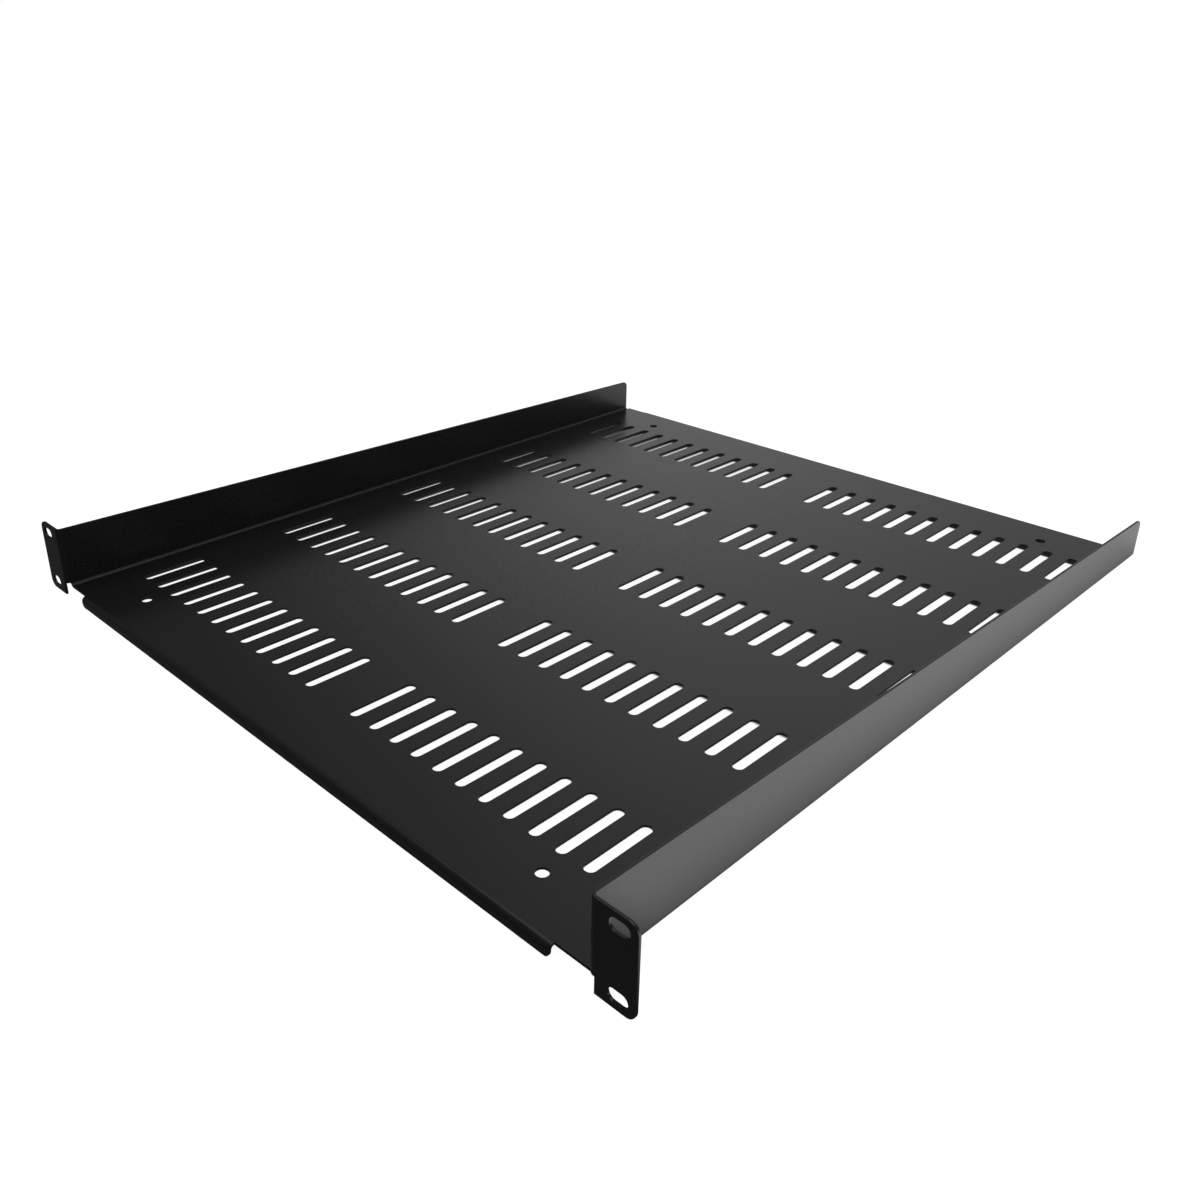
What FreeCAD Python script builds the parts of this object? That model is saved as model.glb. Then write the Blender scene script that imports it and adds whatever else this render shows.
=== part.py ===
import FreeCAD, Part
import math
import os

# Vented cantilever shelf for a 19 inch rack: one sheet of steel, cut out flat and folded.
# The deck has an upright wall folded up along each side. Each wall ends at the front in
# an ear that is folded outwards and bolts to the rack's rail. A shallow lip is folded
# down along the front and the rear of the deck.
# Millimetres. X runs to the right, Y to the rear and Z up. The origin is in the middle
# of the footprint, at the level of the lower edges of the lips and ears.

# The sheet, and the inner radius of every fold
sheet = 1.5
fold_inner = 1.5

# The front, as a rack panel one unit high: the ears' tips and edges
panel_width = 482.6
panel_height = 43.65
ear_reach = 21.8
ear_corner = 5.0
ear_relief = 0.4

# The ears' rack slots, one near each end of an ear, lying across it
rack_slot_length = 10.0
rack_slot_height = 6.0
rack_slot_from_tip = 8.75
rack_slot_from_edge = 5.95

# The deck, between its front and rear folds, and how far its top lies above the lips' edges
deck_length = 508.0
deck_rise = 6.5

# The lips along the deck's front and rear, which stop short of the walls
lip_end_gap = 19.5
lip_corner = 3.0

# The side walls, as high as the ears at the front and tapering to the rear
wall_rear_height = 24.5
wall_rear_gap = 2.5
wall_corner = 4.0

# The vent slots, in rows across the deck with a plain strip down its middle. There are so
# many that their round ends are drawn with short flats, within 0.04 mm of the arc.
slot_length = 40.0
slot_width = 6.0
slot_end_flats = 10
slot_rows = 5
slots_each_side = 12
slots_from_fold = 36.4
slots_from_wall = 19.3
middle_strip = 33.4

# The fixing holes, one in each corner of the deck
hole_diameter = 6.2
hole_from_wall = 50.0
hole_from_fold = 23.5

# Sizes that follow
fold_outer = fold_inner + sheet
tray_width = panel_width - 2 * ear_reach
wall_inside = tray_width / 2 - sheet
deck_edge = wall_inside - fold_inner
deck_front = -deck_length / 2
deck_rear = deck_length / 2
wall_foot = deck_rise + fold_inner
wall_rear = deck_rear - wall_rear_gap
lip_end = wall_inside - lip_end_gap
ear_root = tray_width / 2 + fold_inner

# Directions of a flat panel's width, height and thickness
X = FreeCAD.Vector(1, 0, 0)
Y = FreeCAD.Vector(0, 1, 0)
Z = FreeCAD.Vector(0, 0, 1)
LEVEL = FreeCAD.Rotation(X, Y, Z, "XYZ")
ACROSS = FreeCAD.Rotation(X, Z, -Y, "XYZ")
ALONG = FreeCAD.Rotation(Y, Z, X, "XYZ")


def outline(corners):
    """Closed wire through flat corners (u, v, radius), each corner rounded by its radius."""
    turns = []
    for i, (u, v, radius) in enumerate(corners):
        corner = FreeCAD.Vector(u, v, 0)
        back = (FreeCAD.Vector(*corners[i - 1][:2], 0) - corner).normalize()
        ahead = (FreeCAD.Vector(*corners[(i + 1) % len(corners)][:2], 0) - corner).normalize()
        half_angle = back.getAngle(ahead) / 2
        setback = radius / math.tan(half_angle)
        inwards = (back + ahead).normalize()
        middle = corner + inwards * (radius / math.sin(half_angle) - radius)
        turns.append((corner + back * setback, middle, corner + ahead * setback, radius))
    edges = []
    for i, (start, middle, end, radius) in enumerate(turns):
        if radius > 0:
            edges.append(Part.Arc(start, middle, end).toShape())
        edges.append(Part.LineSegment(end, turns[(i + 1) % len(turns)][0]).toShape())
    return Part.Wire(edges)


def round_end(middle, start, turn, flats):
    """Half circle about its middle, as one arc or as a number of short flats."""
    if flats is None:
        return [Part.Arc(middle + start, middle + turn, middle - start).toShape()]
    angles = [math.pi * i / flats for i in range(flats + 1)]
    points = [middle + start * math.cos(angle) + turn * math.sin(angle) for angle in angles]
    return [Part.LineSegment(*ends).toShape() for ends in zip(points, points[1:])]


def oblong(u, v, along_u, along_v, end_flats=None):
    """Slot with round ends about the point (u, v)."""
    half_u, half_v = along_u / 2, along_v / 2
    radius = min(half_u, half_v)
    straight_u, straight_v = half_u - radius, half_v - radius
    if straight_u > straight_v:
        start, turn = FreeCAD.Vector(0, radius, 0), FreeCAD.Vector(radius, 0, 0)
    else:
        start, turn = FreeCAD.Vector(-radius, 0, 0), FreeCAD.Vector(0, radius, 0)
    middle = FreeCAD.Vector(u, v, 0)
    near = middle + FreeCAD.Vector(straight_u, straight_v, 0)
    far = middle - FreeCAD.Vector(straight_u, straight_v, 0)
    edges = round_end(near, start, turn, end_flats)
    edges.append(Part.LineSegment(near - start, far - start).toShape())
    edges += round_end(far, -start, -turn, end_flats)
    edges.append(Part.LineSegment(far + start, near + start).toShape())
    return Part.Wire(edges)


def round_hole(u, v, diameter):
    """Circle about the point (u, v)."""
    return Part.Wire([Part.Circle(FreeCAD.Vector(u, v, 0), Z, diameter / 2).toShape()])


def panel(wires, facing, place):
    """Flat stretch of the sheet: an outline and the openings in it, one sheet thick."""
    flat = Part.makeFace(wires, "Part::FaceMakerBullseye").extrude(Z * sheet)
    flat.Placement = FreeCAD.Placement(place, facing)
    return flat


def fold(low, high, axis_point, axis):
    """Fold of the sheet: its cut end, the box low to high without depth, turned by 90 degrees."""
    span = high - low
    sides = [side for side in (X * span.x, Y * span.y, Z * span.z) if side.Length > 0]
    end = Part.makePolygon([low, low + sides[0], high, low + sides[1], low])
    return Part.Face(end).revolve(axis_point, axis, 90)


def both_sides(shape):
    """The shape and its mirror image on the other side of the shelf."""
    return [shape, shape.mirror(FreeCAD.Vector(), X)]


def front_and_rear(shape):
    """The shape and its mirror image at the other end of the shelf."""
    return [shape, shape.mirror(FreeCAD.Vector(), Y)]


def vent_slots():
    """Rows of slots that lie along the deck, in a group on each side of its middle."""
    first_x = (middle_strip + slot_width) / 2
    last_x = wall_inside - slots_from_wall - slot_width / 2
    pitch = (last_x - first_x) / (slots_each_side - 1)
    first_y = deck_front + slots_from_fold + slot_length / 2
    row_pitch = -2 * first_y / (slot_rows - 1)
    slots = []
    for row in range(slot_rows):
        for number in range(slots_each_side):
            for side in (-1, 1):
                x = side * (first_x + number * pitch)
                y = first_y + row * row_pitch
                slots.append(oblong(x, y, slot_width, slot_length, slot_end_flats))
    return slots


def fixing_holes():
    """A round hole near each corner of the deck."""
    x = wall_inside - hole_from_wall
    y = deck_rear - hole_from_fold
    return [round_hole(u, v, hole_diameter) for u in (-x, x) for v in (-y, y)]


def deck():
    """The flat deck, out to where its folds begin, with its slots and holes."""
    corners = [
        (-deck_edge, deck_front, 0),
        (deck_edge, deck_front, 0),
        (deck_edge, deck_rear, 0),
        (-deck_edge, deck_rear, 0),
    ]
    wires = [outline(corners)] + vent_slots() + fixing_holes()
    return panel(wires, LEVEL, Z * (deck_rise - sheet))


def right_wall():
    """The right wall and the fold that joins it to the deck."""
    corners = [
        (deck_front, wall_foot, 0),
        (wall_rear, wall_foot, 0),
        (wall_rear, deck_rise + wall_rear_height, wall_corner),
        (deck_front, panel_height, 0),
    ]
    upright = panel([outline(corners)], ALONG, X * wall_inside)
    foot = fold(
        FreeCAD.Vector(deck_edge, deck_front, deck_rise - sheet),
        FreeCAD.Vector(deck_edge, wall_rear, deck_rise),
        FreeCAD.Vector(deck_edge, deck_front, wall_foot),
        -Y,
    )
    return [upright, foot]


def right_ear():
    """The right ear and the fold that joins it to its wall, which stops above the deck."""
    tip = panel_width / 2
    corners = [
        (ear_root + ear_relief, 0, 0),
        (tip, 0, ear_corner),
        (tip, panel_height, ear_corner),
        (ear_root, panel_height, 0),
        (ear_root, wall_foot, 0),
        (ear_root + ear_relief, wall_foot, 0),
    ]
    rack_slots = [
        oblong(tip - rack_slot_from_tip, z, rack_slot_length, rack_slot_height)
        for z in (rack_slot_from_edge, panel_height - rack_slot_from_edge)
    ]
    flat = panel([outline(corners)] + rack_slots, ACROSS, Y * (deck_front - fold_inner))
    root = fold(
        FreeCAD.Vector(wall_inside, deck_front, wall_foot),
        FreeCAD.Vector(wall_inside + sheet, deck_front, panel_height),
        FreeCAD.Vector(ear_root, deck_front, wall_foot),
        Z,
    )
    return [flat, root]


def front_lip():
    """The lip along the deck's front and the fold that joins it to the deck."""
    corners = [
        (-lip_end, 0, lip_corner),
        (lip_end, 0, lip_corner),
        (lip_end, deck_rise - fold_outer, 0),
        (-lip_end, deck_rise - fold_outer, 0),
    ]
    flat = panel([outline(corners)], ACROSS, Y * (deck_front - fold_inner))
    edge = fold(
        FreeCAD.Vector(-lip_end, deck_front, deck_rise - sheet),
        FreeCAD.Vector(lip_end, deck_front, deck_rise),
        FreeCAD.Vector(0, deck_front, deck_rise - fold_outer),
        X,
    )
    return [flat, edge]


def folded_shelf():
    """The whole shelf as one solid."""
    pieces = []
    for shape in right_wall() + right_ear():
        pieces += both_sides(shape)
    for shape in front_lip():
        pieces += front_and_rear(shape)
    return deck().fuse(pieces).removeSplitter()


os.makedirs("parts", exist_ok=True)
shelf = folded_shelf()
solid = shelf.Solids[0]
solid.exportStep("parts/folded_shelf.step")
box = solid.BoundBox
print("solids", len(shelf.Solids), "valid", solid.isValid(), "faces", len(solid.Faces))
print("size", round(box.XLength, 2), round(box.YLength, 2), round(box.ZLength, 2))
print("lowest", round(box.XMin, 2), round(box.YMin, 2), round(box.ZMin, 2))
print("volume", round(solid.Volume / 1000, 1), "cubic centimetres")
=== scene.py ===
import math

import bpy
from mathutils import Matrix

# Looks for the vented rack shelf: one folded sheet in satin black powder coat, standing on a
# white studio floor. Metres. X runs to the right, Y to the rear and Z up, as in the CAD.

# The photograph's camera, which stands before the right front corner and looks down
CAMERA_AT = (0.4259, -0.4812, 0.3140)
CAMERA_TURN_DEG = (65.783, 0.0, 45.376)
SENSOR = 36.0
LENS = 33.96
SHIFT = (0.0425, -0.0493)

# The paint rounds the cut edges of the sheet. Only edges sharper than EDGE_ANGLE_DEG are cut
# edges; the steps of a fold or of a slot's end are well below it.
PAINT_EDGE = 0.00022
PAINT_SEGMENTS = 2
EDGE_ANGLE_DEG = 40.0
WELD_DISTANCE = 1e-6
FLAT_ANGLE_DEG = 0.5

# Powder coat: black base colours, gloss, clouds of tone, the grain of the cured powder and
# its orange peel
COAT_DARK = (0.0080, 0.0080, 0.0082)
COAT_LIGHT = (0.0110, 0.0110, 0.0113)
COAT_ROUGHNESS = (0.24, 0.30)
COAT_IOR = 1.5
CLOUD_SIZE = 0.06
CLOUD_DETAIL = 4.0
GRAIN_SIZE = 0.0009
GRAIN_DETAIL = 2.0
GRAIN_DEPTH = 0.000012
PEEL_SIZE = 0.004
PEEL_DETAIL = 1.0
PEEL_DEPTH = 0.00002

# The studio's light: how bright the surroundings are, by the direction's part to the rear,
# from straight to the front (-1) to straight to the rear (1)
SURROUNDINGS = (
    (-1.0, 0.12),
    (0.20, 0.10),
    (0.32, 0.085),
    (0.38, 0.10),
    (0.50, 0.26),
    (0.60, 0.47),
    (0.70, 0.66),
    (0.80, 0.63),
    (0.90, 0.48),
    (1.0, 0.40),
)

# How much the surroundings count, by the direction's part to the right
ACROSS = (
    (-1.0, 1.0),
    (-0.55, 1.0),
    (-0.20, 0.72),
    (0.0, 0.75),
    (0.30, 0.9),
    (0.70, 0.5),
    (1.0, 0.3),
)

# The low light to the right: its level, the direction's part upwards over which it fades out
# and the part to the right over which it begins
LOW_LIGHT = 1.3
LOW_UP = (0.16, 0.30)
LOW_SIDE = (0.70, 0.92)

# The soft light overhead: its level, and the direction's part upwards over which it begins
OVERHEAD = 1.2
OVERHEAD_UP = (0.76, 0.90)

# How far the shelf's walls stand to each side, and how far the shelf reaches to each end
SHELF_SIDE = 0.2195
SHELF_REAR = 0.257

# The floor: how far it reaches, its depth below the shelf, its own glow and its grey
FLOOR_HALF = 6.0
FLOOR_DROP = 0.0001
FLOOR_GLOW = 0.97
FLOOR_DIFFUSE = 0.25

# The floor's glow as the coat mirrors it, a painted reflection, at the front and the rear end of
# a stretch, and the darker floor in front of the shelf, a painted dark reflection, with the
# stretch over which the glow falls to it
FLOOR_MIRRORED = (1.5, 1.05)
FLOOR_ALONG = (-0.20, 0.25)
FRONT_MIRRORED = 0.075
FRONT_ALONG = (-0.205, -0.252)

# The painted shadow in that glow, by the distance from the shelf's outline: nearly dark below
# the shelf and dimmer around it. Behind the shelf only a share of the distance counts.
UNDER_LEVEL = 0.05
UNDER_WIDTH = (-0.001, 0.007)
NEAR_LEVEL = 0.55
NEAR_WIDTH = (0.0, 0.03)
REAR_SHARE = 0.6

# Painted light below the slots, as if it came through them onto the floor: its mirrored glow,
# how far inside the shelf's outline it ends, and how it fades towards the rear left
BELOW_MIRRORED = 0.2
BELOW_WIDTH = (-0.022, -0.010)
FADE_TOWARDS = (-0.87, 0.49)
FADE_WIDTH = (0.10, 0.39)

# The painted shadow below the deck's plain stretches, set by place on the floor, which shows
# through the
# slots: their pitch, the middle of the first one, where the shadow starts beside a slot's
# middle, how wide it is at the front and at the rear, and the shares of that width between which
# it ends
SLOT_PITCH = 0.016
SLOT_FIRST = 0.0197
SHADOW_BESIDE = 0.0022
SHADOW_WIDTH = (0.0014, 0.0040)
SHADOW_EDGE = (0.7, 1.3)

# The same along the deck: the rows' pitch, the distances from a row's middle between which
# the shadow begins, and the place in front of which no shadow lies between the rows
ROW_PITCH = 0.0988
ROW_LIT = (0.0242, 0.0268)
ROWS_FROM = -0.205

# What the shadow leaves of the glow, the place to the left of which all is shadow, and the
# places to the right and in front where it stops
SHADOW_LEVEL = 0.01
SHADOW_LEFT = -0.2092
SHADOW_RIGHT = 0.203
SHADOW_FRONT = -0.244


class Nodes:
    """A node tree under construction."""

    def __init__(self, tree):
        self.tree = tree
        tree.nodes.clear()

    def add(self, kind, settings=None, **sockets):
        """New node; settings are its properties, sockets its inputs, values or outputs."""
        node = self.tree.nodes.new(kind)
        for name, value in (settings or {}).items():
            setattr(node, name, value)
        for name, value in sockets.items():
            socket = self.find(node, name)
            if isinstance(value, bpy.types.NodeSocket):
                self.tree.links.new(value, socket)
            else:
                socket.default_value = value
        return node

    def find(self, node, name):
        """Input socket by name with underscores for spaces, or by number as in _0."""
        if name[1:].isdigit():
            return node.inputs[int(name[1:])]
        return next(s for s in node.inputs if s.name == name.replace("_", " ") and s.enabled)

    def math(self, operation, *values):
        """Arithmetic on one or two values."""
        sockets = {f"_{i}": value for i, value in enumerate(values)}
        return self.add("ShaderNodeMath", {"operation": operation}, **sockets).outputs[0]

    def change(self, value, span, levels=(0.0, 1.0), smooth=True):
        """Level that goes from the first to the second one while the value crosses the span."""
        kind = "SMOOTHSTEP" if smooth else "LINEAR"
        node = self.add("ShaderNodeMapRange", {"interpolation_type": kind}, Value=value,
                        From_Min=span[0], From_Max=span[1], To_Min=levels[0], To_Max=levels[1])
        return node.outputs[0]

    def levels(self, part, stops):
        """Level by a direction's part along one axis, given at some stops from -1 to 1."""
        place = self.change(part, (-1.0, 1.0), smooth=False)
        node = self.add("ShaderNodeValToRGB", Fac=place)
        elements = node.color_ramp.elements
        while len(elements) < len(stops):
            elements.new(1.0)
        for element, (at, level) in zip(elements, stops):
            element.position = (at + 1) / 2
            element.color = (level, level, level, 1)
        return node.outputs["Color"]


def coat_material(material):
    """Satin black powder coat: slight clouds of tone and gloss, orange peel and fine grain."""
    material.use_nodes = True
    n = Nodes(material.node_tree)
    place = n.add("ShaderNodeTexCoord").outputs["Object"]
    clouds, grain, peel = (
        n.add("ShaderNodeTexNoise", Vector=place, Scale=1 / size, Detail=detail).outputs[0]
        for size, detail in ((CLOUD_SIZE, CLOUD_DETAIL), (GRAIN_SIZE, GRAIN_DETAIL),
                             (PEEL_SIZE, PEEL_DETAIL))
    )
    tone = n.add("ShaderNodeMix", {"data_type": "RGBA"}, Factor=clouds,
                 A=(*COAT_DARK, 1), B=(*COAT_LIGHT, 1))
    gloss = n.change(grain, (0.0, 1.0), COAT_ROUGHNESS, smooth=False)
    waves = n.add("ShaderNodeBump", Height=peel, Strength=1.0, Distance=PEEL_DEPTH)
    bumps = n.add("ShaderNodeBump", Height=grain, Strength=1.0, Distance=GRAIN_DEPTH,
                  Normal=waves.outputs[0])
    coat = n.add("ShaderNodeBsdfPrincipled", Base_Color=tone.outputs["Result"],
                 Roughness=gloss, IOR=COAT_IOR, Normal=bumps.outputs[0])
    n.add("ShaderNodeOutputMaterial", Surface=coat.outputs[0])


def shading_by_angle():
    """Geometry nodes that shade the faces smooth, up to edges sharper than a fold's steps."""
    group = bpy.data.node_groups.new("shading_by_angle", "GeometryNodeTree")
    for side in ("INPUT", "OUTPUT"):
        group.interface.new_socket("Geometry", in_out=side, socket_type="NodeSocketGeometry")
    n = Nodes(group)
    shape = n.add("NodeGroupInput").outputs[0]
    smooth = n.add("GeometryNodeSetShadeSmooth", {"domain": "FACE"},
                   Geometry=shape, Shade_Smooth=True)
    bend = n.add("GeometryNodeInputMeshEdgeAngle").outputs["Unsigned Angle"]
    sharp = n.add("FunctionNodeCompare", {"operation": "GREATER_THAN"},
                  A=bend, B=math.radians(EDGE_ANGLE_DEG))
    edged = n.add("GeometryNodeSetShadeSmooth", {"domain": "EDGE"}, Geometry=smooth.outputs[0],
                  Selection=sharp.outputs[0], Shade_Smooth=False)
    n.add("NodeGroupOutput", _0=edged.outputs[0])
    return group


def paint_edges(shelf):
    """Round the cut edges by the paint on them; the CAD mesh below stays as it is."""
    weld = shelf.modifiers.new("weld", "WELD")
    weld.merge_threshold = WELD_DISTANCE
    flats = shelf.modifiers.new("flats", "DECIMATE")
    flats.decimate_type = "DISSOLVE"
    flats.angle_limit = math.radians(FLAT_ANGLE_DEG)
    edges = shelf.modifiers.new("edges", "BEVEL")
    edges.width = PAINT_EDGE
    edges.segments = PAINT_SEGMENTS
    edges.limit_method = "ANGLE"
    edges.angle_limit = math.radians(EDGE_ANGLE_DEG)
    edges.use_clamp_overlap = False
    shading = shelf.modifiers.new("shading", "NODES")
    shading.node_group = shading_by_angle()
    normals = shelf.modifiers.new("normals", "WEIGHTED_NORMAL")
    normals.keep_sharp = True


def painted_light_below(n, parts, clear, fade):
    """Painted light and shadow below the shelf: the share of the floor's glow left by place, as
    if light came by the slots.
    """
    side = n.math("SIGN", parts["X"])
    beside = n.math("SUBTRACT", parts["X"], n.math("MULTIPLY", side, SLOT_FIRST))
    beside = n.math("FLOORED_MODULO", beside, SLOT_PITCH)
    width = n.change(parts["Y"], (-SHELF_REAR, SHELF_REAR), SHADOW_WIDTH, smooth=False)
    reach = n.math("DIVIDE", n.math("SUBTRACT", beside, SHADOW_BESIDE), width)
    before = n.math("LESS_THAN", beside, SHADOW_BESIDE)
    painted_lit = n.math("MAXIMUM", n.change(reach, SHADOW_EDGE), before)
    along = n.change(n.math("PINGPONG", parts["Y"], ROW_PITCH / 2), ROW_LIT, (1.0, 0.0))
    along = n.math("MAXIMUM", along, n.math("LESS_THAN", parts["Y"], ROWS_FROM))
    for share in (along, fade, n.math("GREATER_THAN", parts["X"], SHADOW_LEFT)):
        painted_lit = n.math("MULTIPLY", painted_lit, share)
    for least in (
        SHADOW_LEVEL,
        n.math("GREATER_THAN", clear, 0.0),
        n.math("GREATER_THAN", parts["X"], SHADOW_RIGHT),
        n.math("LESS_THAN", parts["Y"], SHADOW_FRONT),
    ):
        painted_lit = n.math("MAXIMUM", painted_lit, least)
    return painted_lit


def painted_floor_reflection(n, parts, clear, fade):
    """Painted reflection: the floor's glow as the coat mirrors it, with painted shadow by the
    shelf, painted light below the slots and a painted dark front.
    """
    near = n.change(clear, NEAR_WIDTH, (NEAR_LEVEL, 1.0))
    under = n.change(clear, UNDER_WIDTH, (UNDER_LEVEL, 1.0))
    along = n.change(parts["Y"], FLOOR_ALONG, FLOOR_MIRRORED, smooth=False)
    below = n.change(clear, BELOW_WIDTH, (BELOW_MIRRORED, 0.0))
    glow = n.math("ADD", n.math("MULTIPLY", n.math("MULTIPLY", near, under), along),
                  n.math("MULTIPLY", below, fade))
    in_front = n.change(parts["Y"], FRONT_ALONG)
    return n.add("ShaderNodeMix", {"data_type": "FLOAT"}, Factor=in_front, A=glow,
                 B=FRONT_MIRRORED).outputs[0]


def floor_material():
    """White floor with the shelf's shadow, partly painted, a painted glow for reflections, clear
    from below.
    """
    material = bpy.data.materials.new("studio_floor")
    material.use_nodes = True
    n = Nodes(material.node_tree)
    rays = n.add("ShaderNodeLightPath").outputs
    place = n.add("ShaderNodeNewGeometry").outputs
    parts = n.add("ShaderNodeSeparateXYZ", Vector=place["Position"]).outputs
    beside = n.math("SUBTRACT", n.math("ABSOLUTE", parts["X"]), SHELF_SIDE)
    behind = n.math("MULTIPLY", n.math("SUBTRACT", parts["Y"], SHELF_REAR), REAR_SHARE)
    clear = n.math("MAXIMUM", beside, behind)
    fade = n.math("ADD", n.math("MULTIPLY", parts["X"], FADE_TOWARDS[0]),
                  n.math("MULTIPLY", parts["Y"], FADE_TOWARDS[1]))
    fade = n.change(fade, FADE_WIDTH, (1.0, 0.0))
    through = n.math("MAXIMUM", rays["Is Camera Ray"], rays["Is Transmission Ray"])
    # The camera sees the floor's glow with painted shadow and painted light below the shelf
    seen = n.math("MULTIPLY", n.math("MULTIPLY", through, FLOOR_GLOW),
                  painted_light_below(n, parts, clear, fade))
    glow = n.add("ShaderNodeEmission", Strength=seen).outputs[0]
    matt = n.add("ShaderNodeBsdfDiffuse",
                 Color=(FLOOR_DIFFUSE, FLOOR_DIFFUSE, FLOOR_DIFFUSE, 1)).outputs[0]
    direct = n.add("ShaderNodeAddShader", _0=glow, _1=matt).outputs[0]
    # Reflections see a painted glow instead, with painted shadow and light around the shelf
    reflected = n.add("ShaderNodeEmission",
                      Strength=painted_floor_reflection(n, parts, clear, fade)).outputs[0]
    from_above = n.add("ShaderNodeMixShader", _0=rays["Is Glossy Ray"], _1=direct,
                       _2=reflected).outputs[0]
    from_below = n.add("ShaderNodeBsdfTransparent").outputs[0]
    surface = n.add("ShaderNodeMixShader", _0=place["Backfacing"], _1=from_above,
                    _2=from_below).outputs[0]
    n.add("ShaderNodeOutputMaterial", Surface=surface)
    return material


def studio_floor():
    """The floor below the shelf, which is part of the studio and not of the shelf."""
    mesh = bpy.data.meshes.new("floor")
    corners = [(-1, -1), (1, -1), (1, 1), (-1, 1)]
    mesh.from_pydata([(x * FLOOR_HALF, y * FLOOR_HALF, -FLOOR_DROP) for x, y in corners],
                     [], [(0, 1, 2, 3)])
    mesh.materials.append(floor_material())
    floor = bpy.data.objects.new("floor", mesh)
    bpy.context.scene.collection.objects.link(floor)


def studio_world(scene):
    """Soft light from the rear, overhead and low to the right; the camera sees plain white."""
    world = bpy.data.worlds.new("studio")
    world.use_nodes = True
    scene.world = world
    n = Nodes(world.node_tree)
    rays = n.add("ShaderNodeLightPath").outputs
    direction = n.add("ShaderNodeTexCoord").outputs["Generated"]
    parts = n.add("ShaderNodeSeparateXYZ", Vector=direction).outputs
    soft = n.math("MULTIPLY", n.levels(parts["Y"], SURROUNDINGS), n.levels(parts["X"], ACROSS))
    low = n.math("MULTIPLY", n.change(parts["Z"], LOW_UP, (LOW_LIGHT, 0.0)),
                 n.change(parts["X"], LOW_SIDE))
    overhead = n.change(parts["Z"], OVERHEAD_UP, (0.0, OVERHEAD))
    level = n.math("ADD", soft, n.math("ADD", low, overhead))
    light = n.add("ShaderNodeBackground", Color=(1, 1, 1, 1), Strength=level)
    white = n.add("ShaderNodeBackground", Color=(1, 1, 1, 1), Strength=1.0)
    seen = n.math("MAXIMUM", rays["Is Camera Ray"], rays["Is Transmission Ray"])
    mixed = n.add("ShaderNodeMixShader", _0=seen, _1=light.outputs[0], _2=white.outputs[0])
    n.add("ShaderNodeOutputWorld", Surface=mixed.outputs[0])


def camera(scene):
    """The photograph's camera."""
    data = bpy.data.cameras.new("camera")
    data.sensor_width = SENSOR
    data.lens = LENS
    data.shift_x, data.shift_y = SHIFT
    eye = bpy.data.objects.new("camera", data)
    eye.location = CAMERA_AT
    eye.rotation_euler = [math.radians(angle) for angle in CAMERA_TURN_DEG]
    scene.collection.objects.link(eye)
    scene.camera = eye


scene = bpy.context.scene
scene.view_settings.view_transform = "Standard"
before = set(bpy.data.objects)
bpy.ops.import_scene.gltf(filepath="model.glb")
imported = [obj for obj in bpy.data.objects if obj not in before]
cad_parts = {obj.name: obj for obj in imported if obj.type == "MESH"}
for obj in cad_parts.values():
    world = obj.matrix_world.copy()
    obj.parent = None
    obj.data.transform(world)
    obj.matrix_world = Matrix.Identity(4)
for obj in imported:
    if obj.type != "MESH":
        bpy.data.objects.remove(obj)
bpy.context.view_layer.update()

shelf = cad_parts["folded_shelf"]
coat_material(shelf.material_slots[0].material)
paint_edges(shelf)

studio_floor()
studio_world(scene)
camera(scene)
